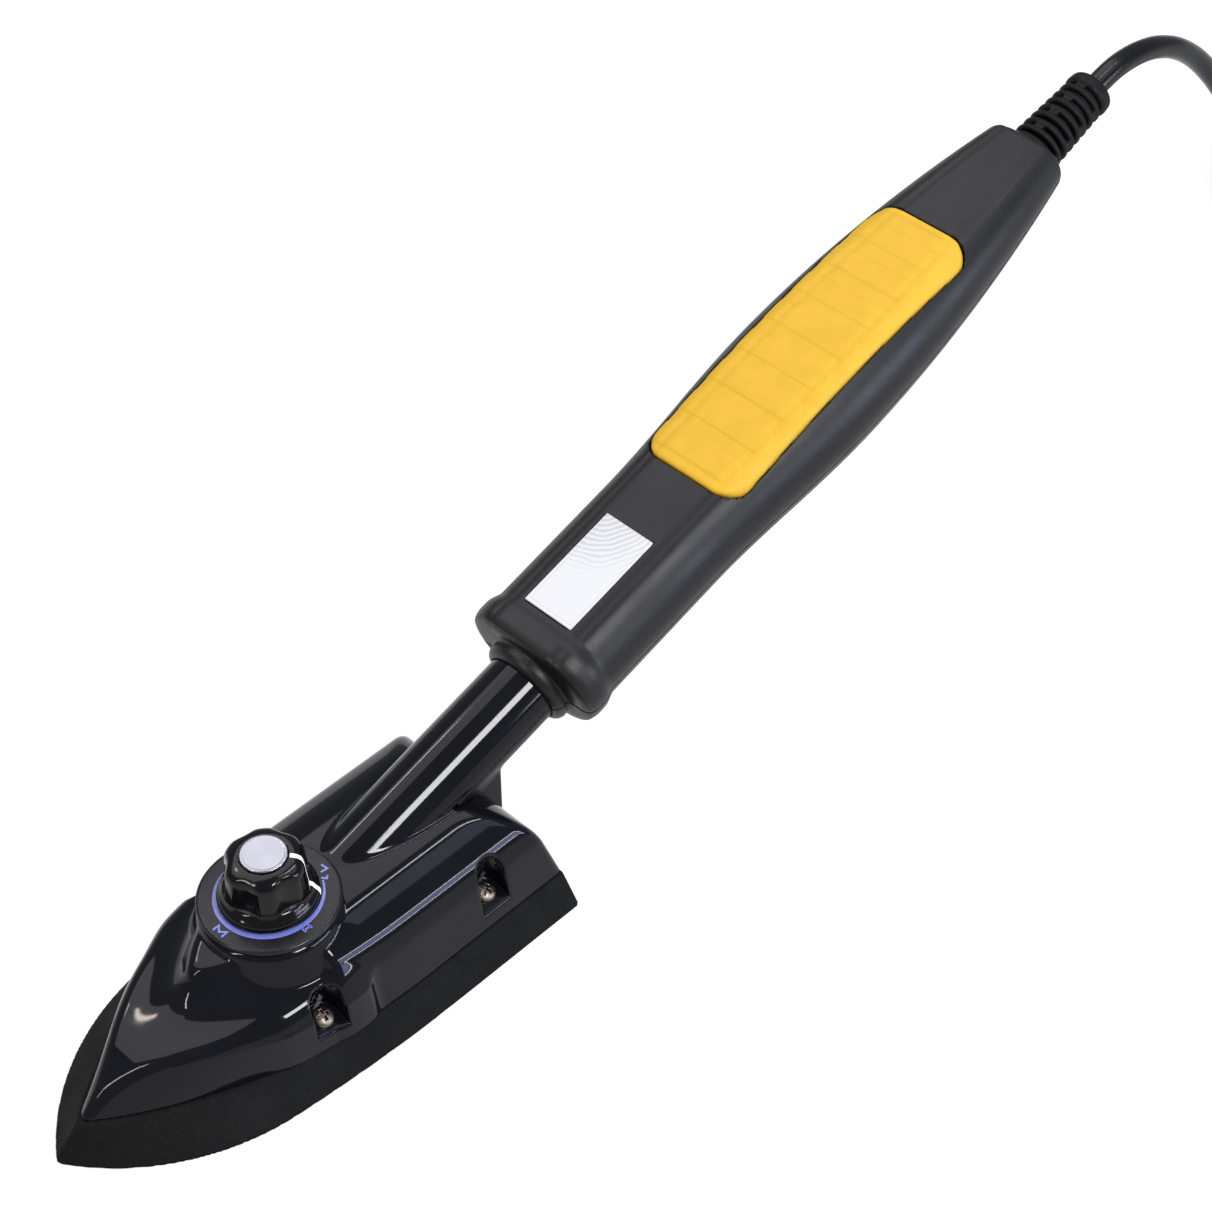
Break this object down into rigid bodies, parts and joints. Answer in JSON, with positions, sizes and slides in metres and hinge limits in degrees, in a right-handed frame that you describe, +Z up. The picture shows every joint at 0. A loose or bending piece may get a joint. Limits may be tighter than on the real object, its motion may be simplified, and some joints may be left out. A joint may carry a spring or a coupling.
{
  "type": "sealing iron",
  "caption": "Hand-held sealing iron: shoe-shaped heated sole, hooded head with a thermostat knob, slanted neck and a long two-part handle with a soft grip pad, cord and plug.",
  "frame": {"origin": "on the sole's flat working face, straight below the knob's axis", "axes": "+X from the sole's tip back towards the handle and cord, +Z up from the working face, +Y across the body to complete a right-handed frame; the plane Y = 0 is the body's mirror plane"},
  "size_m": [0.5804, 0.0648, 0.1016],
  "materials": {
    "sole_coating": "black non-stick coating over cast aluminium",
    "element_steel": "heat-tinted steel sheath",
    "ceramic": "unglazed ceramic",
    "pin_steel": "plain",
    "shield_sheet": "mill finish",
    "cover_black": "glossy black moulding",
    "neck_black": "matte black moulding",
    "screw_black": "black oxide",
    "dial_black": "satin black with a printed arc scale",
    "knob_black": "glossy black",
    "cap_spun": "spun face",
    "brass": "machined",
    "spring_steel": "rolled",
    "zinc_steel": "zinc plated",
    "bimetal": "rolled bimetal",
    "fuse_metal": "drawn case",
    "live_cover": "glass-braid sleeve",
    "neutral_cover": "glass-braid sleeve",
    "copper_link": "tinned wire",
    "handle_black": "fine satin grain",
    "pad_yellow": "soft matte",
    "plate_white": "white and silver, bare",
    "block_white": "moulded",
    "relief_black": "soft black",
    "cord_black": "smooth black jacket",
    "tie_black": "soft strap",
    "plug_black": "moulded",
    "blade_brass": "nickel-free brass"
  },
  "bodies": {
    "iron": {"sole_plate": "sole_coating", "heating_element": "element_steel", "heater_beads": "ceramic", "heater_pins": "pin_steel", "heat_shield": "shield_sheet", "head_cover": "cover_black", "neck_base": "neck_black", "cover_screws": "screw_black", "dial_plate": "dial_black", "spindle_nut": "brass", "thermostat_bridge": "spring_steel", "thermostat_base": "zinc_steel", "thermostat_screws": "zinc_steel", "ceramic_washers": "ceramic", "stack_rivet": "brass", "bimetal_strip": "bimetal", "fixed_leaf": "spring_steel", "arm_root": "spring_steel", "thermal_fuse": "fuse_metal", "fuse_links": "copper_link", "live_wire": "live_cover", "neutral_wire": "neutral_cover", "handle_upper": "handle_black", "handle_lower": "handle_black", "handle_screws": "screw_black", "grip_pad": "pad_yellow", "name_plate": "plate_white", "terminal_block": "block_white", "terminal_screws": "zinc_steel", "core_wires": "copper_link", "cable_clamp": "block_white", "clamp_screws": "zinc_steel", "strain_relief": "relief_black", "cord_root": "cord_black", "cord": "cord_black", "cord_coil": "cord_black", "cord_tie": "tie_black", "plug_body": "plug_black", "plug_blades": "blade_brass"},
    "knob": {"knob_body": "knob_black", "knob_cap": "cap_spun", "knob_bush": "brass", "knob_clip": "spring_steel", "thermostat_spindle": "brass"},
    "pin": {"adjust_pin": "ceramic"},
    "arm": {"contact_arm": "spring_steel"}
  },
  "joints": [
    {"name": "knob_turn", "type": "hinge", "parent": "iron", "child": "knob", "pos_m": [0, 0, 0.0317], "axis": [0, 0, -1], "range_deg": [0, 270]},
    {"name": "pin_follow", "type": "slide", "parent": "iron", "child": "pin", "axis": [0, 0, -1], "range_m": [0, 0.0008]},
    {"name": "arm_bend", "type": "hinge", "parent": "iron", "child": "arm", "pos_m": [0.009, 0, 0.0148], "axis": [0, -1, 0], "range_deg": [0, 5.09]}
  ],
  "couplings": [
    {"joint": "pin_follow", "follows": "knob_turn", "m_per_rad": 0.00016976},
    {"joint": "arm_bend", "follows": "knob_turn", "ratio": 0.01881}
  ]
}
